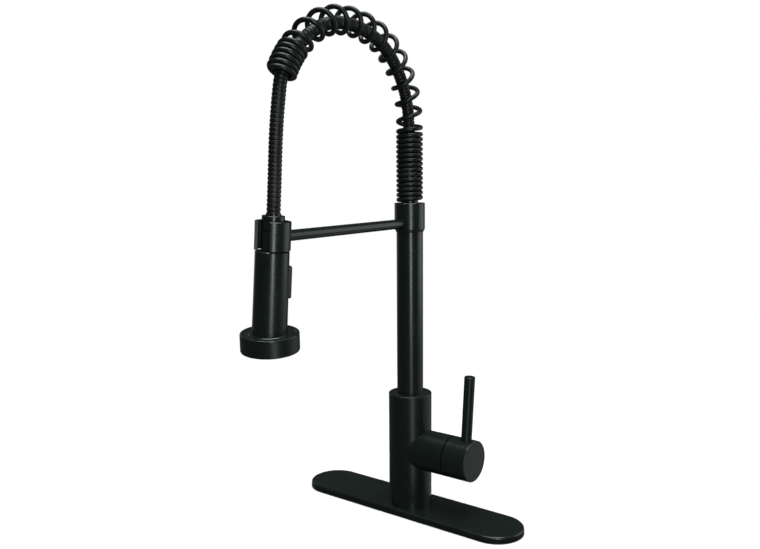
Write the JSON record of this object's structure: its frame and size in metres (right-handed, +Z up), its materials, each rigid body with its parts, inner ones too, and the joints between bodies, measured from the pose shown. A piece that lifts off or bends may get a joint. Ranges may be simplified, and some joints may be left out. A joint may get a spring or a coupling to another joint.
{
  "type": "pre-rinse faucet",
  "caption": "Deck-mounted spring-arch pull-down kitchen faucet with a side lever mixer, oblong deck plate and a docking arm that holds the spray head.",
  "frame": {"origin": "on the column's axis, at the worktop surface that the deck gasket rests on", "axes": "+Z up along the column, +X towards the side lever, -Y towards the user and the spray head"},
  "size_m": [0.26, 0.2494, 0.5734],
  "materials": {
    "satin_black": "satin black coating over metal, fine even texture",
    "black_spring_steel": "satin black coated spring wire",
    "black_hose_cover": "soft ribbed plastic cover",
    "black_button": "satin moulded plastic",
    "epdm_rubber": "matt elastomer",
    "silicone_nozzles": "soft silicone",
    "white_pex": "extruded plastic tube",
    "steel_parts": "stainless steel, as turned",
    "brass_parts": "machined brass",
    "ceramic_discs": "lapped ceramic",
    "white_plastic": "moulded acetal",
    "black_plastic": "moulded plastic",
    "grey_plastic": "moulded plastic"
  },
  "bodies": {
    "base": {"deck_plate": "satin_black", "deck_gasket": "epdm_rubber", "centring_ring": "black_plastic", "valve_body": "satin_black", "body_o_ring": "epdm_rubber", "mounting_shank": "brass_parts", "clamp_rubber_washer": "epdm_rubber", "clamp_steel_washer": "steel_parts", "mounting_nut": "brass_parts", "clamp_screws": "steel_parts", "cartridge_seal": "epdm_rubber", "cartridge_base": "white_plastic", "cartridge_housing": "white_plastic", "fixed_ceramic_disc": "ceramic_discs", "cartridge_nut": "brass_parts", "column_bushing": "black_plastic", "spigot_slide_ring": "white_plastic", "spout_retaining_ring": "steel_parts"},
    "cartridge_turret": {"cartridge_rotor": "white_plastic", "rotor_pin": "steel_parts"},
    "handle": {"cartridge_stem": "brass_parts", "handle_knob": "satin_black", "lever_rod": "satin_black", "handle_set_screw": "steel_parts"},
    "mixing_disc": {"moving_ceramic_disc": "ceramic_discs", "disc_carrier": "white_plastic"},
    "spout": {"column_spigot": "brass_parts", "spigot_o_rings": "epdm_rubber", "column_tube": "satin_black", "dock_collar": "satin_black", "collar_set_screw": "steel_parts", "spring_fitting": "satin_black", "fitting_o_ring": "epdm_rubber", "hose_ferrule": "steel_parts", "dock_arm": "satin_black", "dock_ring": "satin_black", "ring_screw": "steel_parts", "dock_liner": "black_plastic", "arch_spring": "black_spring_steel", "hose_cover": "black_hose_cover", "hose_core": "white_pex"},
    "hose_end": {"hose_end_nut": "satin_black", "swivel_stem": "brass_parts", "swivel_o_rings": "epdm_rubber"},
    "spray_head": {"head_shell": "satin_black", "head_core": "black_plastic", "swivel_clip": "steel_parts", "check_valve_seat": "white_plastic", "check_valve_guide": "white_plastic", "check_valve_spring": "steel_parts", "button_spring": "steel_parts", "face_manifold": "black_plastic", "nozzle_mat": "silicone_nozzles", "nozzle_plate": "black_plastic", "aerator_shell": "black_plastic", "aerator_grid": "grey_plastic"},
    "check_valve": {"check_valve_poppet": "white_plastic"},
    "spray_mode_button": {"spray_button": "black_button", "diverter_plunger": "white_plastic", "diverter_o_rings": "epdm_rubber"}
  },
  "joints": [
    {"name": "temperature_turn", "type": "hinge", "parent": "base", "child": "cartridge_turret", "pos_m": [0.032, 0, 0.0662], "axis": [1, 0, 0], "range_deg": [-45, 45]},
    {"name": "flow_tilt", "type": "hinge", "parent": "cartridge_turret", "child": "handle", "pos_m": [0.032, 0, 0.0662], "axis": [0, 1, 0], "range_deg": [0, 22]},
    {"name": "mixing_disc_slide", "type": "slide", "parent": "cartridge_turret", "child": "mixing_disc", "axis": [0, 0, 1], "range_m": [0, 0.0044]},
    {"name": "spout_swivel", "type": "hinge", "parent": "base", "child": "spout", "pos_m": [0, 0, 0.1], "axis": [0, 0, 1], "continuous": true},
    {"name": "head_pull_down", "type": "slide", "parent": "spout", "child": "hose_end", "axis": [-0.0628, -0.0174, -0.9979], "range_m": [0, 0.045], "stiffness_N_per_m": 80, "springref_m": -0.06, "deforming": ["arch_spring", "hose_cover", "hose_core"]},
    {"name": "head_swivel", "type": "hinge", "parent": "hose_end", "child": "spray_head", "pos_m": [0, -0.19456, 0.29967], "axis": [-0.0628, -0.0174, -0.9979], "continuous": true},
    {"name": "spray_mode_press", "type": "slide", "parent": "spray_head", "child": "spray_mode_button", "axis": [0.0011, -0.9998, 0.0174], "range_m": [0, 0.0022], "stiffness_N_per_m": 900, "springref_m": -0.002, "deforming": ["button_spring"]},
    {"name": "check_valve_open", "type": "slide", "parent": "spray_head", "child": "check_valve", "axis": [-0.0628, -0.0174, -0.9979], "range_m": [0, 0.002], "stiffness_N_per_m": 120, "springref_m": -0.003, "deforming": ["check_valve_spring"]}
  ],
  "couplings": [
    {"joint": "mixing_disc_slide", "follows": "flow_tilt", "m_per_rad": 0.0111}
  ]
}
